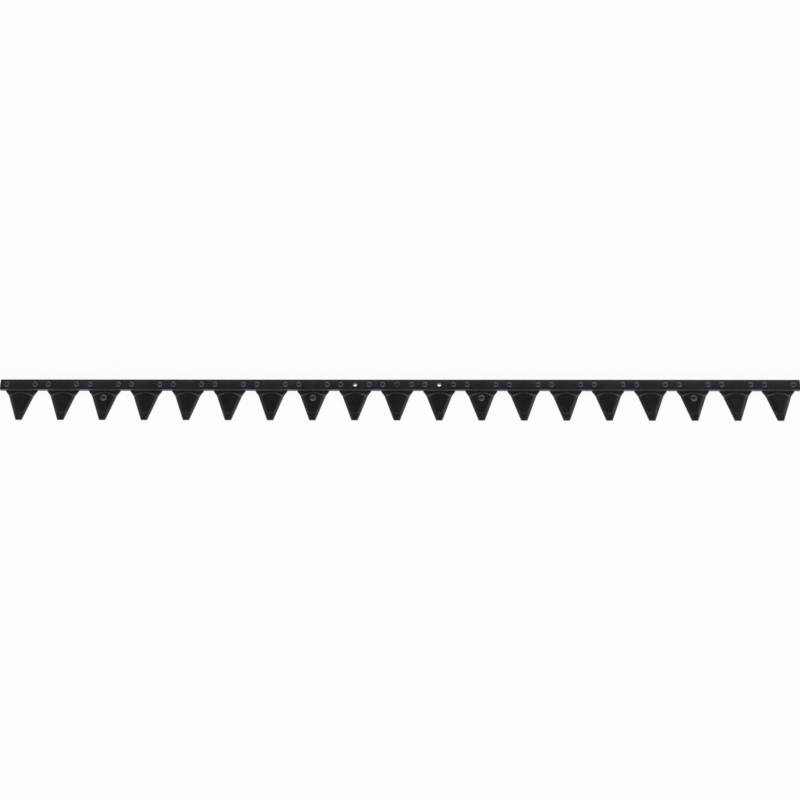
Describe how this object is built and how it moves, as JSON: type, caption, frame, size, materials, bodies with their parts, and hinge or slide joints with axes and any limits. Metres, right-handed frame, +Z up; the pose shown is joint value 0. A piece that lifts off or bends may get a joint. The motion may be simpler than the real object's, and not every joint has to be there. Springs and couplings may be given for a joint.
{
  "type": "sickle bar mower knife",
  "caption": "Long flat bar with a row of pressed triangular blade sections riveted under it, painted black. It slides to and fro in a mower's cutter bar.",
  "frame": {"origin": "on the sliding face under the middle section, on the line of the rivets and midway between the drive holes", "axes": "+X along the bar, +Y towards the bar's back edge away from the blade tips, +Z up from the sliding face to the rivet heads"},
  "size_m": [0.9652, 0.0501, 0.0087],
  "materials": {
    "bar_paint": "semi-gloss black paint",
    "section_paint": "semi-gloss black paint over ground and pressed steel",
    "rivet_paint": "gloss black paint over rivet heads"
  },
  "bodies": {
    "root": {"knife_bar": "bar_paint", "section_01": "section_paint", "section_02": "section_paint", "section_03": "section_paint", "section_04": "section_paint", "section_05": "section_paint", "section_06": "section_paint", "section_07": "section_paint", "section_08": "section_paint", "section_09": "section_paint", "section_10": "section_paint", "section_11": "section_paint", "section_12": "section_paint", "section_13": "section_paint", "section_14": "section_paint", "section_15": "section_paint", "section_16": "section_paint", "section_17": "section_paint", "section_18": "section_paint", "section_19": "section_paint", "section_rivets": "rivet_paint", "centre_rivet": "rivet_paint", "guide_rivets": "rivet_paint"}
  },
  "joints": []
}
